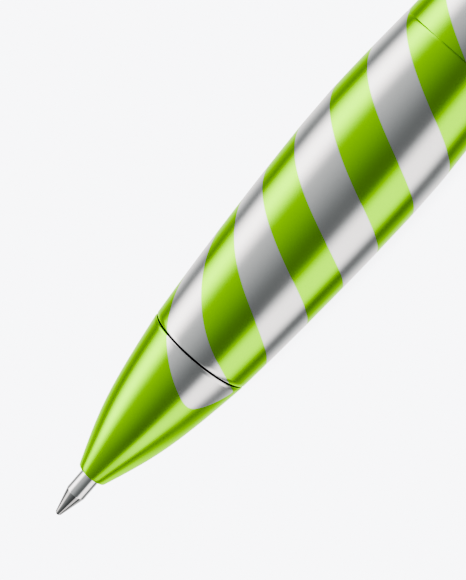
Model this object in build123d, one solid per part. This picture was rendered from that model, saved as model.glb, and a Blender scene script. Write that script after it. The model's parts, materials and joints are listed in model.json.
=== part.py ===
from build123d import *
import os
from math import radians, sqrt

# Click ballpoint pen with a fat torpedo-shaped two-tone barrel, shown in the writing state.
# Everything is first drawn along the Z axis, in millimetres. A "station" is the distance
# from the very tip of the writing point towards the push button, and outlines are given
# as (radius, station). lay_down() turns the finished pieces so that the pen lies along X,
# with the clip on the -Y side and the origin on the axis in the middle of the belly.

# Outside shape
NOSE_FACE = 6.0          # front face of the nose cone
LOWER_SEAM = 24.4        # nose cone meets the front barrel
LOWER_GAP = 0.18         # open groove at that seam
SEAM_RADIUS = 6.1
BELLY_START = 50.0       # straight band at the widest place
BELLY_END = 54.5
BELLY_RADIUS = 7.5
UPPER_SEAM = 65.96       # front barrel meets the upper barrel
UPPER_GAP = 0.05
UPPER_SEAM_RADIUS = 6.85
BARREL_TOP = 125.0       # upper barrel ends, clip ring begins
BARREL_TOP_RADIUS = 6.05
RING_TOP = 127.6         # clip ring ends, end cap begins
RING_GAP = 0.03
CAP_START = RING_TOP + 0.05
CAP_TOP = 134.5
BUTTON_TOP = 140.0
ORIGIN = (BELLY_START + BELLY_END) / 2

# Click motion: the refill, rotor and button slide together, and the rotor turns
TRAVEL = 6.5             # from writing to retracted
ROTOR_TURN = 60.0        # degrees in that travel
RIBS = 3                 # stop ribs in the housing, fins on the rotor and on the plunger
RIB_SPACING = 360.0 / RIBS

# Bores and joints of the barrel
SPIGOT_RADIUS = 4.7      # nose cone's threaded spigot
SPIGOT_GROOVE = 4.35     # seat of its rubber ring
SPIGOT_END = 31.0
INSERT_RADIUS = 5.05     # brass insert in the front barrel's mouth
INSERT_START = 25.2
INSERT_END = 32.4
COUPLING_START = 57.0    # brass tube between the barrel halves
COUPLING_END = 75.0
COUPLING_RADIUS = 5.35
COUPLING_GROOVE = 4.8
COUPLING_RING = 65.0
BUSH_START = 8.0         # guide bush of the writing point
BUSH_RADIUS = 1.9
BUSH_FLANGE = 9.8

# Refill
POINT_RADIUS = 1.15
POINT_END = 14.0
CONE_LENGTH = 3.28
BALL_RADIUS = 0.35
SOCKET_CLEARANCE = 0.015
NECK_RADIUS = 1.6
NECK_START = 11.4
SHOULDER = 19.5
TUBE_START = 21.5
TUBE_END = 97.3
TUBE_RADIUS = 2.9
TUBE_BORE = 2.6
INK_START = 25.0
INK_END = 80.0
GREASE_END = 84.0
REFILL_END = 98.3

# Return spring
SPRING_START = 10.2
WIRE_RADIUS = 0.2
COIL_RADIUS = 2.0
COILS = 9

# Click mechanism
HOUSING_START = 103.0
HOUSING_END = 131.0
HOUSING_RADIUS = 4.9
GROOVE_RADIUS = 4.2      # between the ribs
RIB_BORE = 3.3           # inside the ribs
RIB_START = 109.0        # underside of a rib, at the rib's middle
RIB_WIDTH = 1.9
FIN_RADIUS = 4.05
FIN_ROOT = 3.1           # fins start outside the plunger's crown
FIN_WIDTH = 1.2
FIN_START = 105.9
LATCH_SLACK = 0.3
TOOTH_DEPTH = 0.8
ROTOR_RADIUS = 3.15
PLUNGER_RADIUS = 3.0
PLUNGER_BORE = 1.95
BUTTON_RADIUS = 3.1
BUTTON_BORE = 2.2
BUTTON_START = 124.4
BUTTON_FLOOR = 136.2
RAMP = TRAVEL / (radians(ROTOR_TURN) * (RIB_BORE + GROOVE_RADIUS) / 2)

# Clip
CLIP_ROOT = 7.45         # distance of the bend from the pen's axis
CLIP_LOW = 125.3         # the lug and the arm's root stand between these stations
CLIP_HIGH = 127.3
CLIP_TIP = 86.2
CLIP_WIDTH = 4.4
CLIP_TIP_WIDTH = 3.4
PAD_STATION = 89.4
PAD_RADIUS = 1.3


# Ways to draw

def closed_face(curves):
    return make_face([edge for curve in curves for edge in curve.edges()])


def turned(*curves):
    """Solid turned about the pen's axis from a closed chain of curves in (radius, station)."""
    return revolve(Plane.XZ * closed_face(curves), Axis.Z)


def tube(outer, inner, start, end):
    """Plain ring, or a plain rod where inner is 0."""
    return turned(Polyline((inner, start), (outer, start), (outer, end), (inner, end), close=True))


def ridges(crest, root, start, pitch, count):
    """Points of a row of thread ridges, from start upwards."""
    points = []
    for turn in range(count):
        low = start + turn * pitch
        points += [(root, low), (crest, low + 0.3 * pitch), (crest, low + 0.6 * pitch)]
    return points + [(root, start + count * pitch)]


def round_corner(centre_radius, centre_station, rounding):
    """Quarter round from the side of a turned piece to its top."""
    half = rounding * sqrt(0.5)
    return ThreePointArc((centre_radius + rounding, centre_station),
                         (centre_radius + half, centre_station + half),
                         (centre_radius, centre_station + rounding))


def o_ring(centre_radius, station, section):
    return Pos(0, 0, station) * Torus(centre_radius, section)


# Nose and barrel

def make_nose_cone():
    """Tapered shell with the hole for the point, the spring chamber and a threaded spigot."""
    hole, face_radius, corner, bevel = 1.3, 1.55, 0.3, 0.13
    chamber, chamber_end, bore, bore_start = 2.45, 14.5, 3.3, 15.5
    thread_root, rear = 4.45, SEAM_RADIUS - 0.03
    front = Polyline(
        (hole, NOSE_FACE), (face_radius, NOSE_FACE),
        (face_radius + 0.2, NOSE_FACE + 0.08), (face_radius + corner, NOSE_FACE + corner),
    )
    skin = Spline(
        (face_radius + corner, NOSE_FACE + corner), (3.92, 12.4), (5.22, 18.5),
        (rear, LOWER_SEAM - bevel),
    )
    inside = Polyline(
        (rear, LOWER_SEAM - bevel), (rear + 0.01 - bevel, LOWER_SEAM),
        (SPIGOT_GROOVE, LOWER_SEAM), (SPIGOT_GROOVE, INSERT_START),
        *ridges(SPIGOT_RADIUS, thread_root, INSERT_START + 0.2, 0.8, 6),
        (thread_root, SPIGOT_END), (bore, SPIGOT_END), (bore, bore_start),
        (chamber, chamber_end), (chamber, BUSH_FLANGE), (BUSH_RADIUS, BUSH_FLANGE),
        (BUSH_RADIUS, BUSH_START), (hole, BUSH_START), (hole, NOSE_FACE),
    )
    return turned(front, skin, inside)


def make_tip_bush():
    """Guide bush for the point, with a flange that the spring stands on."""
    bore, flange = 1.25, 2.4
    return turned(Polyline(
        (bore, BUSH_START), (BUSH_RADIUS, BUSH_START), (BUSH_RADIUS, BUSH_FLANGE),
        (flange, BUSH_FLANGE), (flange, SPRING_START), (bore, SPRING_START), close=True,
    ))


def make_nose_insert():
    """Brass sleeve in the mouth of the front barrel, which the nose cone screws into."""
    return tube(INSERT_RADIUS, SPIGOT_RADIUS + 0.05, INSERT_START, INSERT_END)


def make_front_barrel():
    """Grip part of the barrel, swelling to a straight band at its widest place."""
    front = LOWER_SEAM + LOWER_GAP
    bore, bore_end, coupling_bore, coupling_seat = 4.9, 55.5, COUPLING_RADIUS + 0.05, 56.5
    grip = ThreePointArc((SEAM_RADIUS, front), (6.98, 37.4), (BELLY_RADIUS, BELLY_START))
    belly = Line((BELLY_RADIUS, BELLY_START), (BELLY_RADIUS, BELLY_END))
    taper = Spline(
        (BELLY_RADIUS, BELLY_END), (7.24, 60.2), (UPPER_SEAM_RADIUS, UPPER_SEAM),
        tangents=[(-0.03, 1), (-0.065, 1)],
    )
    inside = Polyline(
        (UPPER_SEAM_RADIUS, UPPER_SEAM), (coupling_bore, UPPER_SEAM),
        (coupling_bore, coupling_seat), (bore, bore_end), (bore, INSERT_END + 0.1),
        (INSERT_RADIUS, INSERT_END + 0.1), (INSERT_RADIUS, front), (SEAM_RADIUS, front),
    )
    return turned(grip, belly, taper, inside)


def make_barrel_coupling():
    """Brass tube that joins the two halves of the barrel: screwed in front, pressed in behind."""
    bore, thread_root = 4.2, 5.1
    groove = (COUPLING_RING - 0.4, COUPLING_RING + 0.4)
    return turned(Polyline(
        (bore, COUPLING_START), *ridges(COUPLING_RADIUS, thread_root, COUPLING_START + 0.4, 0.9, 7),
        (thread_root, groove[0] - 0.1), (COUPLING_GROOVE, groove[0]), (COUPLING_GROOVE, groove[1]),
        (COUPLING_RADIUS, groove[1] + 0.1), (COUPLING_RADIUS, COUPLING_END),
        (bore, COUPLING_END), close=True,
    ))


def make_upper_barrel():
    """Rear part of the barrel, tapering to the clip ring."""
    front = UPPER_SEAM + UPPER_GAP
    bore, bore_start, housing_seat = 4.6, COUPLING_END + 0.8, HOUSING_START - 0.2
    outside = Spline(
        (UPPER_SEAM_RADIUS, front), (6.32, 84.0), (6.12, 104.0), (BARREL_TOP_RADIUS, BARREL_TOP),
        tangents=[(-0.06, 1), (-0.002, 1)],
    )
    inside = Polyline(
        (BARREL_TOP_RADIUS, BARREL_TOP), (HOUSING_RADIUS, BARREL_TOP),
        (HOUSING_RADIUS, housing_seat), (bore, housing_seat - 0.8), (bore, bore_start),
        (COUPLING_RADIUS, COUPLING_END + 0.2), (COUPLING_RADIUS, front),
        (UPPER_SEAM_RADIUS, front),
    )
    return turned(outside, inside)


# Refill

def make_refill_point():
    """Metal writing point: a cone with the ball's socket, and the tube behind it."""
    lip, rim = 0.22, 0.025
    channel, channel_end, bore, bore_start = 0.2, 2.7, 0.5, 3.0
    socket = BALL_RADIUS + SOCKET_CLEARANCE
    lip_radius = sqrt(socket ** 2 - (BALL_RADIUS - lip) ** 2)
    seat = BALL_RADIUS + sqrt(socket ** 2 - channel ** 2)
    cavity = ThreePointArc((channel, seat), (socket, BALL_RADIUS), (lip_radius, lip))
    rest = Polyline(
        (lip_radius, lip), (lip_radius + rim, lip), (POINT_RADIUS, CONE_LENGTH),
        (POINT_RADIUS, POINT_END), (bore, POINT_END), (bore, bore_start),
        (channel, channel_end), (channel, seat),
    )
    return turned(cavity, rest)


def make_writing_ball():
    return Pos(0, 0, BALL_RADIUS) * Sphere(BALL_RADIUS)


def make_refill_nozzle():
    """Brass piece between the point and the tube, with the shoulder that the spring pushes."""
    channel, chamfer = 0.6, 0.2
    return turned(Polyline(
        (POINT_RADIUS, NECK_START), (NECK_RADIUS - chamfer, NECK_START),
        (NECK_RADIUS, NECK_START + chamfer), (NECK_RADIUS, SHOULDER),
        (TUBE_RADIUS, SHOULDER + chamfer), (TUBE_RADIUS, TUBE_START), (TUBE_BORE, TUBE_START),
        (TUBE_BORE, INK_START), (channel, INK_START), (channel, POINT_END),
        (POINT_RADIUS, POINT_END), close=True,
    ))


def make_refill_end_plug():
    """Plug in the rear end of the refill, with its vent hole."""
    vent, plug_start, chamfer = 0.8, 92.0, 0.3
    return turned(Polyline(
        (vent, plug_start), (TUBE_BORE, plug_start), (TUBE_BORE, TUBE_END),
        (TUBE_RADIUS, TUBE_END), (TUBE_RADIUS, REFILL_END - chamfer),
        (TUBE_RADIUS - chamfer, REFILL_END), (vent, REFILL_END), close=True,
    ))


def make_return_spring():
    """Coil spring between the tip bush and the refill's shoulder."""
    length = SHOULDER - SPRING_START - 2 * WIRE_RADIUS
    path = Helix(pitch=length / COILS, height=length, radius=COIL_RADIUS)
    coil = sweep(Plane(origin=path @ 0, z_dir=path % 0) * Circle(WIRE_RADIUS), path=path)
    return Pos(0, 0, SPRING_START + WIRE_RADIUS) * coil


# Click mechanism

def vane(width, inner, outer, low, high, angle):
    """Flat radial vane standing between two stations."""
    size = (outer - inner, width, high - low)
    middle = ((inner + outer) / 2, 0, (low + high) / 2)
    return Rot(0, 0, angle) * Pos(*middle) * Box(*size)


def vanes(width, ring, inner, outer, low, high, first_angle, ramp_station=None, above=True):
    """Evenly spaced vanes trimmed to a ring, each with a sloping end where a ramp is given."""
    group = Part()
    for index in range(RIBS):
        angle = first_angle + RIB_SPACING * index
        one = vane(width, inner, outer, low, high, angle) & ring
        if ramp_station is not None:
            one -= ramp_block(ramp_station, angle, above)
        group += one
    return group


def ramp_block(station, angle, above):
    """Large block above or below a plane that climbs in the rotor's turning direction."""
    reach = 12.0
    tilt = Plane(origin=(0, 0, station), x_dir=(1, 0, 0), z_dir=(0, -RAMP, 1))
    side = reach / 2 if above else -reach / 2
    return Rot(0, 0, angle) * (tilt * Pos(0, 0, side) * Box(4 * reach, reach, reach))


def saw_teeth(station):
    """Bars laid on their corners, which cut V notches across the end of a tube."""
    bars = Part()
    side = TOOTH_DEPTH * sqrt(2)
    for index in range(RIBS):
        bars += Pos(0, 0, station) * Rot(0, 0, ROTOR_TURN * index) * Rot(45, 0, 0) * Box(12.0, side, side)
    return bars


def make_cam_housing():
    """Plastic sleeve with the stop ribs, and a lip below that guides the rotor's tail."""
    lip, low = 3.5, RIB_START - 4
    body = turned(Polyline(
        (lip, HOUSING_START), (HOUSING_RADIUS, HOUSING_START), (HOUSING_RADIUS, HOUSING_END),
        (GROOVE_RADIUS, HOUSING_END), (GROOVE_RADIUS, HOUSING_START + 1.9),
        (lip, HOUSING_START + 1.2), close=True,
    ))
    ring = tube(GROOVE_RADIUS + 0.2, RIB_BORE, low, HOUSING_END - 0.5)
    return body + vanes(RIB_WIDTH, ring, RIB_BORE - 0.5, GROOVE_RADIUS + 0.3, low, HOUSING_END,
                        0, ramp_station=RIB_START, above=False)


def make_rotor_cam():
    """Turning cam: a tail that pushes the refill, three fins, saw teeth and a guide stem."""
    tail, stem, stem_end, collar = 2.6, 1.7, 115.0, 105.2
    top = RIB_START + 3
    body = tube(tail, 0, REFILL_END + 0.08, collar + 0.4) + tube(ROTOR_RADIUS, 0, collar, RIB_START)
    body -= saw_teeth(RIB_START)
    body += tube(stem, 0, collar, stem_end)
    ring = tube(FIN_RADIUS, FIN_ROOT, FIN_START, top)
    return body + vanes(FIN_WIDTH, ring, FIN_ROOT - 0.3, FIN_RADIUS + 0.3, FIN_START, top,
                        0, ramp_station=RIB_START - LATCH_SLACK, above=True)


def make_button_plunger():
    """Toothed crown that pushes the rotor, with guide fins and a stem pressed in the button."""
    start, fin_low, fin_high = RIB_START + 0.15, 113.0, 124.2
    floor, stem_end = BUTTON_START - 0.4, BUTTON_FLOOR - 0.2
    body = tube(PLUNGER_RADIUS, PLUNGER_BORE, start, BUTTON_START) - saw_teeth(start)
    body += turned(Polyline(
        (0, floor), (PLUNGER_RADIUS, floor), (PLUNGER_RADIUS, BUTTON_START),
        (BUTTON_BORE, BUTTON_START), (BUTTON_BORE, stem_end - 0.4), (BUTTON_BORE - 0.3, stem_end),
        (0, stem_end), close=True,
    ))
    ring = tube(FIN_RADIUS, PLUNGER_RADIUS - 0.3, fin_low, fin_high)
    return body + vanes(FIN_WIDTH, ring, PLUNGER_RADIUS - 0.3, FIN_RADIUS + 0.3, fin_low, fin_high,
                        RIB_SPACING / 2)


def make_push_button():
    """Metal cap over the plunger's stem, flat on top with a rounded edge."""
    rounding = 0.7
    edge = round_corner(BUTTON_RADIUS - rounding, BUTTON_TOP - rounding, rounding)
    rest = Polyline(
        (BUTTON_RADIUS - rounding, BUTTON_TOP), (0, BUTTON_TOP), (0, BUTTON_FLOOR),
        (BUTTON_BORE, BUTTON_FLOOR), (BUTTON_BORE, BUTTON_START), (BUTTON_RADIUS, BUTTON_START),
        (BUTTON_RADIUS, BUTTON_TOP - rounding),
    )
    return turned(edge, rest)


def make_end_cap():
    """Domed metal cap that screws over the housing and holds the clip ring."""
    base, top, hole, rounding, bevel = 6.0, 4.2, BUTTON_RADIUS + 0.1, 0.4, 0.25
    floor = HOUSING_END + 0.15
    dome = Spline((base, CAP_START), (5.72, 131.4), (top + rounding, CAP_TOP - rounding),
                  tangents=[(0, 1), (-0.5, 1)])
    lip = round_corner(top, CAP_TOP - rounding, rounding)
    inside = Polyline(
        (top, CAP_TOP), (hole + bevel, CAP_TOP), (hole, CAP_TOP - bevel), (hole, floor),
        (HOUSING_RADIUS, floor), (HOUSING_RADIUS, CAP_START), (base, CAP_START),
    )
    return turned(dome, lip, inside)


# Clip: drawn in the plane of the pen's axis, pointing along -Y

def make_clip_ring():
    """Ring clamped between the barrel and the end cap, with the lug that carries the clip."""
    outer, lug_foot, lug_face = 6.15, 5.6, CLIP_ROOT - 0.05
    ring = tube(outer, HOUSING_RADIUS + 0.05, BARREL_TOP + RING_GAP, RING_TOP)
    lug = Box(CLIP_WIDTH, lug_face - lug_foot, CLIP_HIGH - CLIP_LOW)
    return ring + Pos(0, -(lug_foot + lug_face) / 2, (CLIP_LOW + CLIP_HIGH) / 2) * lug


def clip_side():
    """Closed side outline of the clip's arm, as (distance from the axis, station)."""
    root, toe_high = CLIP_ROOT + 0.05, CLIP_TIP + 0.5
    return [
        ThreePointArc((root, CLIP_HIGH), (8.75, 126.75), (9.3, 125.4)),
        ThreePointArc((9.3, 125.4), (9.42, 107.0), (8.75, toe_high)),
        ThreePointArc((8.75, toe_high), (8.28, CLIP_TIP), (7.85, toe_high + 0.05)),
        ThreePointArc((7.85, toe_high + 0.05), (8.52, 107.0), (8.4, 124.9)),
        ThreePointArc((8.4, 124.9), (8.15, 125.18), (root, CLIP_LOW)),
        Line((root, CLIP_LOW), (root, CLIP_HIGH)),
    ]


def clip_front():
    """Closed front outline of the arm, as (distance across, station): tapered, with a round toe."""
    half, tip_half, high, low = CLIP_WIDTH / 2, CLIP_TIP_WIDTH / 2, 128.0, CLIP_TIP - 0.2
    shoulder = low + tip_half
    toe = ThreePointArc((tip_half, shoulder), (0, low), (-tip_half, shoulder))
    sides = Polyline((-tip_half, shoulder), (-half, high), (half, high), (tip_half, shoulder))
    return [toe, sides]


def make_clip():
    """Sprung metal arm, bent over from the ring and running back along the barrel."""
    side = Plane(origin=(0, 0, 0), x_dir=(0, -1, 0), z_dir=(-1, 0, 0)) * closed_face(clip_side())
    front = Plane.XZ * closed_face(clip_front())
    arm = extrude(side, CLIP_WIDTH, both=True) & extrude(front, 12.0)
    return arm - make_clip_pad()


def make_clip_pad():
    """Rounded stud set into the clip near its toe, which presses on the barrel."""
    low, high, rounding = 6.42, 8.25, 0.9
    pad = Cylinder(PAD_RADIUS, high - low)
    pad = fillet(pad.edges().sort_by(Axis.Z)[0], rounding)
    return Pos(0, 0, PAD_STATION) * Rot(90, 0, 0) * Pos(0, 0, (low + high) / 2) * pad


def lay_down(shape):
    """Turns the pen from upright to lying along X, with the origin at the middle of the belly."""
    return Pos(-ORIGIN, 0, 0) * Rot(0, 90, 0) * shape


PIECES = {
    "nose_cone": make_nose_cone(),
    "tip_bush": make_tip_bush(),
    "nose_o_ring": o_ring(SPIGOT_RADIUS, 24.8, 0.33),
    "nose_insert": make_nose_insert(),
    "front_barrel": make_front_barrel(),
    "barrel_coupling": make_barrel_coupling(),
    "coupling_o_ring": o_ring(5.1, COUPLING_RING, 0.27),
    "upper_barrel": make_upper_barrel(),
    "cam_housing": make_cam_housing(),
    "clip_ring": make_clip_ring(),
    "end_cap": make_end_cap(),
    "clip": make_clip(),
    "clip_pad": make_clip_pad(),
    "refill_point": make_refill_point(),
    "writing_ball": make_writing_ball(),
    "refill_nozzle": make_refill_nozzle(),
    "refill_tube": tube(TUBE_RADIUS, TUBE_BORE, TUBE_START, TUBE_END),
    "ink_column": tube(TUBE_BORE, 0, INK_START, INK_END),
    "ink_follower": tube(TUBE_BORE, 0, INK_END, GREASE_END),
    "refill_end_plug": make_refill_end_plug(),
    "return_spring": make_return_spring(),
    "rotor_cam": make_rotor_cam(),
    "button_plunger": make_button_plunger(),
    "push_button": make_push_button(),
}

os.makedirs("parts", exist_ok=True)
for name, piece in PIECES.items():
    export_step(lay_down(piece), f"parts/{name}.step")
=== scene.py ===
"""Looks of the click ballpoint pen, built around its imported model.

The pen lies along X on a pale floor with its writing point at -X. Outlines are drawn as
(radius, station) in millimetres: a station is the distance from the very tip of the point.
"""

import json
from math import atan2, cos, pi, radians, sin, sqrt, tau

import bmesh
import bpy
import numpy as np
from mathutils import Matrix, Vector


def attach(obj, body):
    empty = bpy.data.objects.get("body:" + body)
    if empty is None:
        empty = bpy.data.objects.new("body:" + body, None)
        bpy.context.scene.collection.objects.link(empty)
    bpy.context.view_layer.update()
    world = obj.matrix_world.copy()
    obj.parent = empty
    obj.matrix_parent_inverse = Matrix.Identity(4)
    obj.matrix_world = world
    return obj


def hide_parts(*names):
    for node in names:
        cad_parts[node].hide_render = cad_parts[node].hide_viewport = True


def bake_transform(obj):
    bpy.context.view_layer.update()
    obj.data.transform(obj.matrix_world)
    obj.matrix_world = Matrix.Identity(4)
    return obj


MM = 0.001
ORIGIN = 52.25                   # station of the model's origin, in mm
BELLY_RADIUS = 7.5

# Camera, measured about the pen's axis
CAMERA_HEIGHT = radians(80)      # how far above the horizon the camera stands
IMAGE_TURN = radians(49.05)      # the pen climbs to the right by this much
POINT_NEARER = radians(10.45)    # the pen's point is turned out of the picture's plane
CAMERA_DISTANCE = 206.3          # mm
AIM_STATION = 31.72
AIM_ASIDE = 1.54                 # mm, from the axis to the middle of the picture
LENS = 120.1
SENSOR = 36.0

SEAM_MIDDLE = 24.49              # station of the groove behind the nose
BALL_RADIUS = 0.35

# Silver bands on the green, in mm and turns
BAND_FIRST = 24.1
BAND_SPACING = 11.33
BAND_SHARE = 0.25

GREEN = (0.385, 0.93, 0.008)
GREEN_EDGE = (0.82, 1.0, 0.48)
SILVER = (0.80, 0.80, 0.806)
HAIRLINE = (0.68, 0.66, 0.72)    # where silver meets green
# painted shade: near-black colour for the walls of the groove behind the nose
GROOVE_SHADE_COLOUR = (0.012, 0.012, 0.012)

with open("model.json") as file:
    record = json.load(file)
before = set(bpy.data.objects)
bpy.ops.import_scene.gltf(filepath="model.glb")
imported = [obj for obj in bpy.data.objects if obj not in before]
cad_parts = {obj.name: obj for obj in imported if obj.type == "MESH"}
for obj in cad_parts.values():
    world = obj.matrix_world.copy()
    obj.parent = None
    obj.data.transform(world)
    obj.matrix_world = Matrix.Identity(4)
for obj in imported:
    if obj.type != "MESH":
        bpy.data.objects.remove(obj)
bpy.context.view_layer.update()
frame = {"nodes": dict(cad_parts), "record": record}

TOWARDS_CAMERA = Vector((0, -cos(CAMERA_HEIGHT), sin(CAMERA_HEIGHT)))
ASIDE = Vector((0, -sin(CAMERA_HEIGHT), -cos(CAMERA_HEIGHT)))


# Outlines

def arc(start, middle, end, steps):
    """Points of the circular arc through three points."""
    a, b, c = (np.array(p, float) for p in (start, middle, end))
    rows = 2 * np.array([b - a, c - a])
    centre = np.linalg.solve(rows, [b @ b - a @ a, c @ c - a @ a])
    radius = np.linalg.norm(a - centre)
    first, halfway, last = (atan2(*(p - centre)[::-1]) for p in (a, b, c))
    turn = (last - first) % tau
    if (halfway - first) % tau > turn:
        turn -= tau
    angles = first + turn * np.linspace(0, 1, steps + 1)
    return [tuple(centre + radius * np.array([cos(t), sin(t)])) for t in angles]


def smooth_curve(points, steps, start=None, end=None):
    """Points of a cubic spline through the given ones, with its end directions if given."""
    known = np.array(points, float)
    spans = np.linalg.norm(np.diff(known, axis=0), axis=1)
    count = len(known)
    system = np.zeros((count, count))
    target = np.zeros((count, 2))
    for i in range(1, count - 1):
        before, after = spans[i - 1], spans[i]
        system[i, i - 1:i + 2] = after, 2 * (before + after), before
        target[i] = 3 * (after * (known[i] - known[i - 1]) / before
                         + before * (known[i + 1] - known[i]) / after)
    ends = (
        (0, 1, start, spans[0], known[1] - known[0]),
        (-1, -2, end, spans[-1], known[-1] - known[-2]),
    )
    for row, other, direction, span, edge in ends:
        if direction:
            system[row, row] = 1
            target[row] = np.array(direction, float) / np.linalg.norm(direction)
        else:
            system[row, row] = 2
            system[row, other] = 1
            target[row] = 3 * edge / span
    slopes = np.linalg.solve(system, target)
    found = [tuple(known[0])]
    for i, span in enumerate(spans):
        pieces = max(2, round(steps * span / spans.sum()))
        for t in np.linspace(0, 1, pieces + 1)[1:]:
            s = t * t * (3 - 2 * t)
            point = (known[i] * (1 - s) + known[i + 1] * s
                     + span * t * (1 - t) * (slopes[i] * (1 - t) - slopes[i + 1] * t))
            found.append(tuple(point))
    return found


def soften(outline, steps=4):
    """Closed outline with its corners rounded: a corner is (radius, station, rounding)."""
    found = []
    for i, corner in enumerate(outline):
        here = np.array(corner[:2], float)
        if len(corner) == 2:
            found.append(tuple(here))
            continue
        back = np.array(outline[i - 1][:2], float) - here
        on = np.array(outline[(i + 1) % len(outline)][:2], float) - here
        reach = min(corner[2], 0.45 * np.linalg.norm(back), 0.45 * np.linalg.norm(on))
        first = here + back / np.linalg.norm(back) * reach
        last = here + on / np.linalg.norm(on) * reach
        for t in np.linspace(0, 1, steps + 1):
            found.append(tuple(first * (1 - t) ** 2 + here * 2 * t * (1 - t) + last * t * t))
    return found


def finer_end(points, last, parts):
    """The same points with the last few steps between them split into parts."""
    found = points[:-last]
    for first, second in zip(points[-last - 1:], points[-last:]):
        start, step = np.array(first), (np.array(second) - first) / parts
        found += [tuple(start + step * k) for k in range(1, parts + 1)]
    return found


def ridges(crest, root, start, pitch, count):
    """Thread ridges, from start upwards."""
    points = []
    for turn in range(count):
        low = start + turn * pitch
        points += [(root, low), (crest, low + 0.3 * pitch), (crest, low + 0.6 * pitch)]
    return points + [(root, start + count * pitch)]


# Meshes

def finish_mesh(name, vertices, faces, sharp=35):
    """Object from vertices in mm, with smooth shading between its sharper edges."""
    mesh = bpy.data.meshes.new(name)
    mesh.from_pydata([Vector(v) * MM for v in vertices], [], faces)
    work = bmesh.new()
    work.from_mesh(mesh)
    bmesh.ops.recalc_face_normals(work, faces=work.faces)
    work.to_mesh(mesh)
    work.free()
    mesh.shade_smooth()
    mesh.set_sharp_from_angle(angle=radians(sharp))
    made = bpy.data.objects.new(name, mesh)
    bpy.context.scene.collection.objects.link(made)
    return made


def lathe(name, outline, around=256, place=None):
    """Closed solid turned about the pen's axis from a closed outline."""
    rings, vertices, faces = [], [], []
    for radius, station in soften(outline):
        if radius < 1e-6:
            rings.append([len(vertices)] * around)
            vertices.append((station - ORIGIN, 0, 0))
            continue
        rings.append(list(range(len(vertices), len(vertices) + around)))
        for i in range(around):
            angle = tau * i / around
            vertices.append((station - ORIGIN, radius * cos(angle), radius * sin(angle)))
    for ring, following in zip(rings, rings[1:] + rings[:1]):
        if ring[0] == ring[1] and following[0] == following[1]:
            continue
        for i in range(around):
            j = (i + 1) % around
            corners = [ring[i], ring[j], following[j], following[i]]
            faces.append([v for k, v in enumerate(corners) if v not in corners[:k]])
    if place is not None:
        vertices = [place @ Vector(v) for v in vertices]
    return finish_mesh(name, vertices, faces)


def skin(name, rings):
    """Closed solid through a row of rings with the same number of points."""
    size = len(rings[0])
    vertices = [p for ring in rings for p in ring]
    faces = []
    for row in range(len(rings) - 1):
        for i in range(size):
            j = (i + 1) % size
            low, high = row * size, (row + 1) * size
            faces.append([low + i, low + j, high + j, high + i])
    faces.append(list(range(size)))
    faces.append([len(vertices) - size + i for i in range(size)])
    return finish_mesh(name, vertices, faces)


# Shader arithmetic

class Value:
    """A number in a shader: arithmetic on it makes Math nodes."""

    def __init__(self, tree, socket):
        self.tree = tree
        self.socket = socket

    def math(self, operation, *others):
        node = self.tree.nodes.new("ShaderNodeMath")
        node.operation = operation
        for socket, value in zip(node.inputs, (self, *others)):
            if isinstance(value, Value):
                self.tree.links.new(value.socket, socket)
            else:
                socket.default_value = value
        return Value(self.tree, node.outputs[0])

    def __add__(self, other):
        return self.math("ADD", other)

    def __sub__(self, other):
        return self.math("SUBTRACT", other)

    def __mul__(self, other):
        return self.math("MULTIPLY", other)

    def __truediv__(self, other):
        return self.math("DIVIDE", other)

    def fade(self, low, high, first=0.0, last=1.0):
        """Smooth step from first, at low, to last, at high."""
        node = self.tree.nodes.new("ShaderNodeMapRange")
        node.interpolation_type = "SMOOTHSTEP"
        self.tree.links.new(self.socket, node.inputs["Value"])
        limits = {"From Min": low, "From Max": high, "To Min": first, "To Max": last}
        for name, value in limits.items():
            node.inputs[name].default_value = value
        return Value(self.tree, node.outputs["Result"])


def coordinates(tree, output="Object", scale=1 / MM):
    """The three coordinates of a point, those of the mesh in mm unless said otherwise."""
    source = tree.nodes.new("ShaderNodeTexCoord")
    split = tree.nodes.new("ShaderNodeSeparateXYZ")
    tree.links.new(source.outputs[output], split.inputs[0])
    return [Value(tree, socket) * scale for socket in split.outputs]


def noise(tree, size, stretch=(1, 1, 1), detail=3.0):
    """Noise from 0 to 1 whose grains measure about size, in mm, times stretch."""
    source = tree.nodes.new("ShaderNodeTexCoord")
    place = tree.nodes.new("ShaderNodeMapping")
    place.inputs["Scale"].default_value = [1 / (MM * size * s) for s in stretch]
    node = tree.nodes.new("ShaderNodeTexNoise")
    node.inputs["Scale"].default_value = 1.0
    node.inputs["Detail"].default_value = detail
    tree.links.new(source.outputs["Object"], place.inputs["Vector"])
    tree.links.new(place.outputs["Vector"], node.inputs["Vector"])
    return Value(tree, node.outputs[0])


def mixed(tree, share, first, second, blend="MIX"):
    """Colour between two, which are colours or sockets."""
    node = tree.nodes.new("ShaderNodeMix")
    node.data_type = "RGBA"
    node.blend_type = blend
    if isinstance(share, Value):
        tree.links.new(share.socket, node.inputs["Factor"])
    else:
        node.inputs["Factor"].default_value = share
    for socket, colour in ((node.inputs[6], first), (node.inputs[7], second)):
        if isinstance(colour, bpy.types.NodeSocket):
            tree.links.new(colour, socket)
        else:
            socket.default_value = (*colour, 1)
    return node.outputs[2]


def shader(name, **settings):
    """New material and its shader, with the plain settings on the shader's own sockets."""
    made = bpy.data.materials.new(name)
    made.use_nodes = True
    principled = made.node_tree.nodes["Principled BSDF"]
    for socket, value in settings.items():
        principled.inputs[socket.replace("_", " ")].default_value = value
    return made, made.node_tree, principled


def bump(tree, principled, height, depth):
    """Surface relief: height is from 0 to 1, and depth its size in mm."""
    node = tree.nodes.new("ShaderNodeBump")
    node.inputs["Strength"].default_value = 1.0
    node.inputs["Distance"].default_value = depth * MM
    tree.links.new(height.socket, node.inputs["Height"])
    tree.links.new(node.outputs["Normal"], principled.inputs["Normal"])


# Materials

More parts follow.
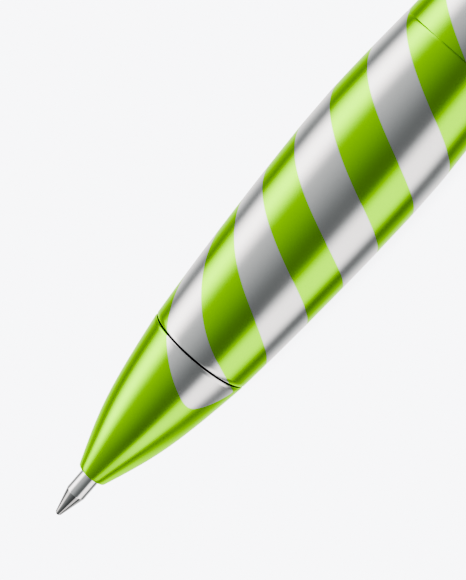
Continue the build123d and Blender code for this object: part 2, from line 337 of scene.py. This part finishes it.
def silver_share(tree):
    """1 in a silver band and 0 on the green, and how near a point is to the bands' edge.

    The bands are helical, shifted to the rear on the side away from the camera, mostly near
    the nose, and by 0.8 mm around station 36. On the nose they end at a rounded limit."""
    x, y, z = coordinates(tree)
    station = x + ORIGIN
    top = y * TOWARDS_CAMERA.y + z * TOWARDS_CAMERA.z
    side = y * ASIDE.y + z * ASIDE.z
    turn = side.math("ARCTAN2", top)
    behind = turn.math("COSINE") * -1.0 + 1.0
    flatten = (station + turn.math("SINE") * 8.0).fade(25, 37, 3.3, 0.5) * behind
    swell = ((station - 36.0) / 7.0).math("POWER", 2.0) * -1.0
    even = station - flatten - swell.math("EXPONENT") * 0.8
    phase = (even - BAND_FIRST) / BAND_SPACING + turn / pi
    inside = (phase.math("PINGPONG", 0.5) * -1.0 + BAND_SHARE) * BAND_SPACING
    away = ((turn * (180 / pi) - 3.0).math("ABSOLUTE") - 22.0).math("MAXIMUM", 0.0)
    nose_limit = (away * away * 0.0022).math("MINIMUM", 7.5) + 19.5
    distance = inside.math("SMOOTH_MIN", station - nose_limit, 1.3)
    return distance.fade(-0.03, 0.03), distance.math("ABSOLUTE").fade(0.02, 0.11, 1.0, 0.0)


def groove_shade_mask(tree):
    """1 on the walls of the groove between the nose and the barrel, where painted shade makes the
    groove dark.
    """
    x, y, z = coordinates(tree)
    radius = (y * y + z * z).math("SQRT")
    aside = (x + ORIGIN - SEAM_MIDDLE).math("ABSOLUTE")
    return radius.fade(5.92, 5.99, 1.0, 0.0) * aside.fade(0.10, 0.13, 1.0, 0.0)


def two_tone(name):
    """Satin metallic green with silver helical bands under a thin clear lacquer."""
    made, tree, principled = shader(name, Metallic=1.0, Coat_Weight=0.09, Coat_Roughness=0.1,
                                    Coat_IOR=1.5)
    share, edge = silver_share(tree)
    flakes = noise(tree, 0.07, detail=1.0).fade(0.25, 0.75, 0.93, 1.0)
    tree.links.new(mixed(tree, share, GREEN_EDGE, (1, 1, 1)), principled.inputs["Specular Tint"])
    colour = mixed(tree, share, GREEN, SILVER)
    colour = mixed(tree, edge * 0.35, colour, HAIRLINE)
    # painted shade: near-black colour on the walls of the groove behind the nose
    colour = mixed(tree, groove_shade_mask(tree), colour, GROOVE_SHADE_COLOUR)
    grey = tree.nodes.new("ShaderNodeCombineColor")
    for socket in grey.inputs[:3]:
        tree.links.new(flakes.socket, socket)
    colour = mixed(tree, 1.0, colour, grey.outputs[0], "MULTIPLY")
    tree.links.new(colour, principled.inputs["Base Color"])
    rough = noise(tree, 6.0).fade(0.3, 0.7, 0.185, 0.215)
    tree.links.new(rough.socket, principled.inputs["Roughness"])
    bump(tree, principled, noise(tree, 0.25, detail=2.0), 0.0003)
    return made


def turned_metal(name, colour, roughness, pitch, depth, cone=None):
    """Metal with the fine rings that a lathe or a polishing wheel leaves.

    A cone at the front of the piece may get painted shade, a darker copy of the colour, and a painted
    highlight where it ends, where the full colour reaches onto its rounded edge."""
    made, tree, principled = shader(name, Metallic=1.0)
    rings = noise(tree, pitch, stretch=(1, 40, 40), detail=2.0)
    stain = noise(tree, 2.5, detail=2.0)
    bright = mixed(tree, stain.fade(0.3, 0.7), [c * 0.95 for c in colour], colour)
    # painted shade on the cone and a painted highlight on its rounded rear edge
    if cone:
        station = coordinates(tree)[0] + ORIGIN
        cone_shade_colour, cone_end = cone
        bright = mixed(tree, station.fade(cone_end - 0.14, cone_end - 0.02), cone_shade_colour, bright)
    tree.links.new(bright, principled.inputs["Base Color"])
    spread = rings.fade(0.3, 0.7, roughness * 0.85, roughness * 1.15)
    tree.links.new(spread.socket, principled.inputs["Roughness"])
    bump(tree, principled, rings, depth)
    return made


def moulded(name, colour, roughness, grain, depth):
    """Plastic or rubber with a faint moulded grain."""
    made, tree, principled = shader(name)
    tone = noise(tree, grain * 8, detail=2.0)
    base = mixed(tree, tone.fade(0.3, 0.7), [c * 0.9 for c in colour], colour)
    tree.links.new(base, principled.inputs["Base Color"])
    fine = noise(tree, grain)
    tree.links.new(fine.fade(0.3, 0.7, roughness * 0.85, roughness * 1.1).socket,
                   principled.inputs["Roughness"])
    bump(tree, principled, fine, depth)
    return made


MATERIALS = {
    "two_tone_barrel": two_tone("two_tone_barrel"),
    "green_nose": two_tone("green_nose"),
    "silver_trim": turned_metal("silver_trim", (0.90, 0.90, 0.91), 0.20, 0.05, 0.0002),
    "clip_steel": turned_metal("clip_steel", (0.86, 0.86, 0.87), 0.12, 0.3, 0.0003),
    # the point's cone gets painted shade, darker than the tube, with a painted highlight where it
    # meets the tube
    "point_steel": turned_metal("point_steel", (0.80, 0.80, 0.80), 0.10, 0.06, 0.0002,
                               cone=((0.40, 0.40, 0.40), 3.28)),
    "ball_carbide": turned_metal("ball_carbide", (0.22, 0.22, 0.23), 0.15, 0.05, 0.0002),
    "brass": turned_metal("brass", (0.86, 0.66, 0.30), 0.22, 0.08, 0.001),
    "refill_metal": turned_metal("refill_metal", (0.80, 0.80, 0.81), 0.22, 0.4, 0.0006),
    "spring_steel": turned_metal("spring_steel", (0.66, 0.66, 0.68), 0.20, 0.2, 0.0004),
    "white_plastic": moulded("white_plastic", (0.86, 0.86, 0.84), 0.42, 0.12, 0.004),
    "black_plastic": moulded("black_plastic", (0.045, 0.045, 0.048), 0.40, 0.12, 0.004),
    "black_rubber": moulded("black_rubber", (0.012, 0.012, 0.012), 0.65, 0.06, 0.004),
    "ink": moulded("ink", (0.01, 0.02, 0.12), 0.12, 0.5, 0.002),
    "grease": moulded("grease", (0.62, 0.58, 0.36), 0.15, 0.6, 0.004),
}


SLOTS = {part["node"]: part["material_slot"] for part in frame["record"]["subparts"]}


def wear(piece, slot):
    """Gives a piece the material of one of the record's slots."""
    piece.data.materials.clear()
    piece.data.materials.append(MATERIALS[slot])


def stand_for(piece, node, body=None):
    """Puts a finer piece in a CAD node's place, with the node's own finish."""
    wear(piece, SLOTS[node])
    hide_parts(node)
    if body:
        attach(piece, body)


# Pieces

def nose_cone():
    shell = smooth_curve([(1.85, 6.3), (3.92, 12.4), (5.22, 18.5), (6.07, 24.25)], 60)
    return lathe("nose_shell", [
        (1.3, 6.0, 0.05), (1.55, 6.0, 0.05), (1.75, 6.08, 0.06), *shell, (6.04, 24.34),
        (5.97, 24.4, 0.04), (4.35, 24.4), (4.35, 25.2), *ridges(4.7, 4.45, 25.4, 0.8, 6),
        (4.45, 31.0), (3.3, 31.0), (3.3, 15.5), (2.45, 14.5), (2.45, 9.8), (1.9, 9.8),
        (1.9, 8.0), (1.3, 8.0),
    ])


def front_barrel():
    grip = arc((6.10, 24.70), (6.98, 37.4), (7.5, 50.0), 60)
    taper = smooth_curve([(7.5, 54.5), (7.24, 60.2), (6.862, 65.86)], 40, (-0.03, 1), (-0.065, 1))
    return lathe("front_shell", [
        (5.05, 24.58), (6.03, 24.58, 0.04), *grip, *taper, (6.80, 65.955, 0.01), (5.4, 65.96),
        (5.4, 56.5), (4.9, 55.5), (4.9, 32.5), (5.05, 32.5),
    ])


def upper_barrel():
    taper = smooth_curve([(6.835, 66.03), (6.32, 84.0), (6.12, 104.0), (6.05, 124.9)], 80,
                         (-0.06, 1), (-0.002, 1))
    return lathe("upper_shell", [
        (5.35, 65.99), (6.81, 65.99, 0.01), *taper, (6.0, 125.0, 0.04), (4.9, 125.0), (4.9, 102.8),
        (4.6, 102.0), (4.6, 75.8), (5.35, 75.2),
    ])


def end_cap():
    dome = smooth_curve([(6.0, 127.72), (5.72, 131.4), (4.6, 134.1)], 32, (0, 1), (-0.5, 1))
    reach = 0.4 * sqrt(0.5)
    lip = arc((4.6, 134.1), (4.2 + reach, 134.1 + reach), (4.2, 134.5), 8)
    return lathe("cap_shell", [
        (4.9, 127.65), (5.94, 127.65, 0.04), *dome, *lip[1:], (3.45, 134.5, 0.06),
        (3.2, 134.25, 0.05), (3.2, 131.15), (4.9, 131.15),
    ])


def push_button():
    side, edge, end = 3.1, 0.7, 140.0
    reach = edge * sqrt(0.5)
    crown = arc((side, end - edge), (side - edge + reach, end - edge + reach), (side - edge, end), 14)
    return lathe("button_cap", [
        (0, 136.2), (2.2, 136.2), (2.2, 124.4), (side, 124.4, 0.06), *crown, (1.0, end), (0, end),
    ])


def clip_ring():
    return lathe("ring_band", [
        (4.95, 125.03), (6.15, 125.03, 0.12), (6.15, 127.6, 0.12), (4.95, 127.6),
    ])


CLIP_TOE, CLIP_ROOT = 87.88, 126.0       # stations between which the strip widens
TOE_HALF, ROOT_HALF = 1.7, 2.2           # half its width there, in mm
CLIP_CROWN = 0.18                        # how far its outer face falls towards the sides
CLIP_ROUNDING = 0.28


def clip_half_width(station):
    """Half the width of the strip, which ends in a half circle at its toe."""
    if station < CLIP_TOE:
        return sqrt(TOE_HALF ** 2 - (CLIP_TOE - station) ** 2)
    share = min(1.0, (station - CLIP_TOE) / (CLIP_ROOT - CLIP_TOE))
    return TOE_HALF + (ROOT_HALF - TOE_HALF) * share


def clip_section(depth, half):
    """Rounded section of the strip as (height, aside), crowned on its outer face."""
    rounding = min(CLIP_ROUNDING, 0.98 * depth, 0.9 * half)
    section = []
    for corner, (way_up, way_out) in enumerate(((1, 1), (-1, 1), (-1, -1), (1, -1))):
        for k in range(7):
            angle = (pi / 2) * (k / 6 + corner)
            section.append((way_up * (depth - rounding) + rounding * cos(angle),
                            way_out * (half - rounding) + rounding * sin(angle)))
    section += [(depth, (k / 5 - 1) * (half - rounding)) for k in range(1, 10)]
    crowned = []
    for up, aside in section:
        if up > 0:
            up -= CLIP_CROWN * (aside / half) ** 2 * (half / ROOT_HALF) ** 2
        crowned.append((up, aside))
    return crowned


def clip_strip():
    """The lug and the arm as one bent strip, drawn as pairs of outer and inner points."""
    outer = [(5.7, 127.3), (6.6, 127.3)] + arc((7.45, 127.3), (8.75, 126.75), (9.3, 125.4), 12)
    inner = [(5.7, 125.3), (6.6, 125.3)] + arc((7.45, 125.3), (8.15, 125.18), (8.4, 124.9), 12)
    outer += finer_end(arc((9.3, 125.4), (9.42, 107.0), (8.75, 86.7), 70)[1:], 4, 6)
    inner += finer_end(arc((8.4, 124.9), (8.52, 107.0), (7.85, 86.75), 70)[1:], 4, 6)
    outer += arc((8.75, 86.7), (8.62, 86.36), (8.30, 86.21), 8)[1:]
    inner += arc((7.85, 86.75), (7.98, 86.40), (8.26, 86.21), 8)[1:]
    rings = []
    for (out, out_station), (under, under_station) in zip(outer, inner):
        half = clip_half_width((out_station + under_station) / 2)
        top, base = Vector((out, out_station)), Vector((under, under_station))
        across = (top - base) / 2
        depth = across.length
        across = across / depth
        ring = []
        for up, aside in clip_section(depth, half):
            spot = (top + base) / 2 + across * up
            ring.append((spot.y - ORIGIN, -spot.x, aside))
        rings.append(ring)
    return skin("clip_strip", rings)


def clip_pad():
    """Stud with a domed foot, standing out from the pen's axis towards the clip."""
    side, edge = 1.3, 0.9
    reach = edge * sqrt(0.5)
    foot = arc((side, edge), (side - edge + reach, edge - reach), (0.4, 0.0), 10)
    stand = Matrix.Translation((89.4 - ORIGIN, -6.42, 0)) @ Matrix.Rotation(-pi / 2, 4, "Z")
    outline = [(0, 1.83), (side, 1.83), *foot, (0, 0)]
    shifted = [(radius, height + ORIGIN) for radius, height in outline]
    return lathe("pad_stud", shifted, around=96, place=stand)


def refill_point():
    """Cone and tube of the writing point, with the socket that holds the ball."""
    socket, ink_bore, lip_station = 0.365, 0.2, 0.22
    seat = BALL_RADIUS + sqrt(socket ** 2 - ink_bore ** 2)
    lip = sqrt(socket ** 2 - (BALL_RADIUS - lip_station) ** 2)
    cavity = arc((ink_bore, seat), (socket, BALL_RADIUS), (lip, lip_station), 12)
    return lathe("point_cone", [
        *cavity, (lip + 0.025, lip_station), (1.15, 3.28, 0.03), (1.15, 14.0), (0.5, 14.0),
        (0.5, 3.0), (ink_bore, 2.7),
    ], around=160)


def writing_ball():
    angles = [pi * k / 32 for k in range(33)]
    half = [(BALL_RADIUS * sin(a), BALL_RADIUS - BALL_RADIUS * cos(a)) for a in angles]
    return lathe("point_ball", half, around=64)


def seam_ring():
    """Rubber ring that shows as the black line between the nose and the barrel."""
    ring, cord, station = 4.70, 0.33, 24.8
    angles = [tau * k / 24 for k in range(24)]
    return lathe("seam_ring", [(ring + cord * cos(a), station + cord * sin(a)) for a in angles])


def coil_spring():
    """Wire coil whose end turns lie flat against its neighbours."""
    start, end, wire, coil, turns = 10.2, 19.5, 0.2, 2.0, 9
    flat = 2 * wire * 1.05
    active = (end - start - 2 * wire - 2 * flat) / (turns - 2)
    steps = 40 * turns
    rings = []
    for i in range(steps + 1):
        turned = i / steps * turns
        rise = flat * min(turned, 1)
        rise = rise + active * max(0, min(turned - 1, turns - 2))
        rise = rise + flat * max(0, turned - turns + 1)
        angle = tau * turned
        ring = []
        for k in range(12):
            spin = tau * k / 12
            radius = coil + wire * cos(spin)
            x = start + wire + rise + wire * sin(spin) - ORIGIN
            ring.append((x, radius * cos(angle), radius * sin(angle)))
        rings.append(ring)
    return skin("spring_coil", rings)


stand_for(nose_cone(), "nose_cone", "barrel")
stand_for(front_barrel(), "front_barrel", "barrel")
stand_for(upper_barrel(), "upper_barrel", "barrel")
stand_for(end_cap(), "end_cap", "barrel")
stand_for(clip_ring(), "clip_ring", "barrel")
stand_for(seam_ring(), "nose_o_ring", "barrel")
stand_for(push_button(), "push_button", "button")
stand_for(clip_pad(), "clip_pad", "clip")
stand_for(refill_point(), "refill_point", "refill")
stand_for(writing_ball(), "writing_ball", "ball")

strip = clip_strip()
stand_for(strip, "clip")
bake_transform(strip)

coil = coil_spring()
stand_for(coil, "return_spring")
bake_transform(coil)

# The pieces hidden inside keep their CAD shape
KEPT = (
    "tip_bush", "nose_insert", "barrel_coupling", "coupling_o_ring", "cam_housing", "refill_nozzle",
    "refill_tube", "ink_column", "ink_follower", "refill_end_plug", "rotor_cam", "button_plunger",
)
for node in KEPT:
    wear(frame["nodes"][node], SLOTS[node])


# Studio

# Long soft boxes beside the pen, by degrees round it from the camera, away from the clip:
# middle, half width, softness of the edges, brightness
SOFT_BOXES = {
    "main": (80, 20, 18, 2.15),
    "overhead": (50, 38, 40, 0.4),
    "second": (-73, 24, 13, 1.4),
    "behind": (180, 42, 26, 1.0),
}
ROOM_LIGHT = 0.17
FRONT_LIGHT = 0.25
REAR_LIGHT = 1.2
FAR_END_SHARE = 0.62             # brightness of the boxes beyond the pen's rear end
MAIN_LEAN, SECOND_LEAN = 0.45, 0.38     # how far the boxes' far sides lean at the nose
LIT_TINT = (1.05, 1.0, 0.98)
DIM_TINT = (0.95, 1.0, 0.995)
BACKDROP = (2.78, 2.80, 2.95)
CONTACT_SHADE = (0.30, 0.30, 0.32)
CONTACT_REACH = 4.0              # mm


def soft_box(turn, middle, half_width, softness, brightness):
    """Light of one soft box at an angle round the pen, in degrees."""
    away = (turn - middle).math("ABSOLUTE")
    away = away.math("MINIMUM", away * -1.0 + 360.0)
    return away.fade(half_width - softness, half_width + softness, brightness, 0.0)


def towards(value, other, share):
    """A number moved towards another by a share."""
    return value + (value * -1.0 + other) * share


def studio_light():
    """World whose brightness depends on the angle round the pen, with a plain backdrop."""
    world = bpy.data.worlds.new("studio")
    bpy.context.scene.world = world
    world.use_nodes = True
    tree = world.node_tree
    x, y, z = coordinates(tree, "Generated", 1.0)
    top = y * TOWARDS_CAMERA.y + z * TOWARDS_CAMERA.z
    side = y * ASIDE.y + z * ASIDE.z
    turn = side.math("ARCTAN2", top) * (-180 / pi)
    ahead = x * -1.0
    past_second = (turn * -1.0 - 30.0).math("MAXIMUM", 0.0)
    turn = turn - past_second * ahead.fade(0.27, 0.60) * SECOND_LEAN
    past_main = (turn - 78.0).math("MAXIMUM", 0.0)
    turn = turn + past_main * ahead.fade(0.3, 0.85) * MAIN_LEAN
    main, *others = [soft_box(turn, *box) for box in SOFT_BOXES.values()]
    brightness = sum(others, main) + ROOM_LIGHT
    brightness = brightness * x.fade(0.50, 0.72, 1.0, FAR_END_SHARE)
    brightness = towards(brightness, FRONT_LIGHT, ahead.fade(0.62, 0.95, 0.0, 0.75))
    brightness = towards(brightness, REAR_LIGHT, x.fade(0.90, 0.97, 0.0, 0.9))
    tint = mixed(tree, brightness.fade(0.0, 1.5), DIM_TINT, LIT_TINT)
    glow = tree.nodes["Background"]
    tree.links.new(brightness.socket, glow.inputs["Strength"])
    tree.links.new(tint, glow.inputs["Color"])
    plain = tree.nodes.new("ShaderNodeBackground")
    plain.inputs["Color"].default_value = (*BACKDROP, 1)
    path = tree.nodes.new("ShaderNodeLightPath")
    choice = tree.nodes.new("ShaderNodeMixShader")
    tree.links.new(path.outputs["Is Camera Ray"], choice.inputs[0])
    tree.links.new(glow.outputs[0], choice.inputs[1])
    tree.links.new(plain.outputs[0], choice.inputs[2])
    tree.links.new(choice.outputs[0], tree.nodes["World Output"].inputs[0])


def floor():
    """Pale glowing floor that isn't seen in reflections, with a painted contact shadow close to the
    pen.
    """
    half = 3000.0
    level = -BELLY_RADIUS - 0.02
    corners = [(x, y, level) for x, y in ((-half, -half), (half, -half), (half, half), (-half, half))]
    ground = finish_mesh("floor", corners, [[0, 1, 2, 3]])
    made, tree, principled = shader("pale_floor", Roughness=0.9, Emission_Strength=1.0)
    principled.inputs["Base Color"].default_value = (0, 0, 0, 1)
    principled.inputs["Specular IOR Level"].default_value = 0.0
    # painted contact shadow: the floor's glow darkens where the pen is near
    near = tree.nodes.new("ShaderNodeAmbientOcclusion")
    near.samples = 16
    near.inputs["Distance"].default_value = CONTACT_REACH * MM
    open_share = Value(tree, near.outputs["AO"]).fade(0.0, 0.9)
    shade = mixed(tree, open_share, CONTACT_SHADE, BACKDROP)
    tree.links.new(shade, principled.inputs["Emission Color"])
    ground.data.materials.append(made)
    ground.visible_glossy = False
    ground.visible_diffuse = False
    ground.visible_shadow = False


def camera():
    """Camera over the pen, turned so that the point is at the lower left."""
    view_side = Vector((0, cos(CAMERA_HEIGHT), -sin(CAMERA_HEIGHT)))
    along = Vector((cos(POINT_NEARER), 0, 0)) + view_side * sin(POINT_NEARER)
    look = Vector((-sin(POINT_NEARER), 0, 0)) + view_side * cos(POINT_NEARER)
    right = along * cos(IMAGE_TURN) + ASIDE * sin(IMAGE_TURN)
    up = along * sin(IMAGE_TURN) - ASIDE * cos(IMAGE_TURN)
    data = bpy.data.cameras.new("camera")
    data.lens = LENS
    data.sensor_width = SENSOR
    data.sensor_fit = "AUTO"
    data.clip_start = 0.01
    data.clip_end = 10.0
    made = bpy.data.objects.new("camera", data)
    bpy.context.scene.collection.objects.link(made)
    aim = Vector((AIM_STATION - ORIGIN, 0, 0)) - ASIDE * AIM_ASIDE
    turn = Matrix((right, up, -look)).transposed()
    made.matrix_world = Matrix.Translation((aim - look * CAMERA_DISTANCE) * MM) @ turn.to_4x4()
    bpy.context.scene.camera = made


studio_light()
floor()
camera()
bpy.context.scene.view_settings.view_transform = "AgX"
bpy.context.scene.view_settings.look = "AgX - High Contrast"
